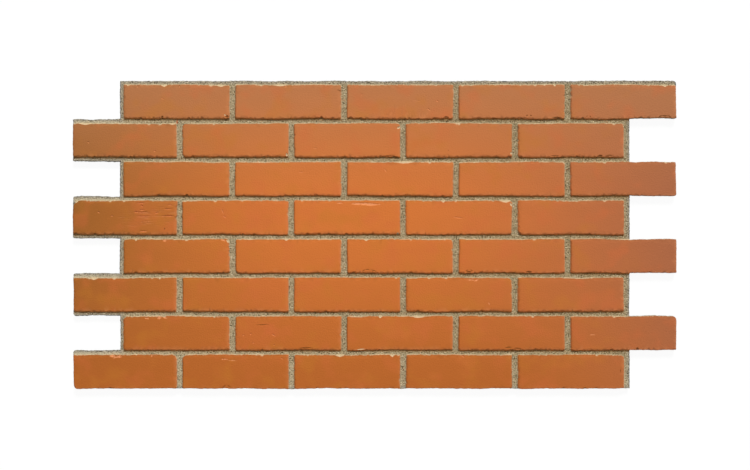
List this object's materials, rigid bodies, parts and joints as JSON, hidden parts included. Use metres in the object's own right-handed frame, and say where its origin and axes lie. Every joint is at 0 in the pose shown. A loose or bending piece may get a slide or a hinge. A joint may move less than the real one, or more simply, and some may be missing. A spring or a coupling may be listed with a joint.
{
  "type": "faux brick wall panel",
  "caption": "Moulded faux brick wall panel in running bond, with toothed ends that interlock with the next panel.",
  "frame": {"origin": "middle of the flat back face, which lies on the floor", "axes": "+X along the courses, +Y up the wall when the panel is hung, +Z out of the brick face"},
  "size_m": [1.219, 0.622, 0.022],
  "materials": {
    "painted_foam": "matte"
  },
  "bodies": {
    "root": {"brick_panel": "painted_foam"}
  },
  "joints": []
}
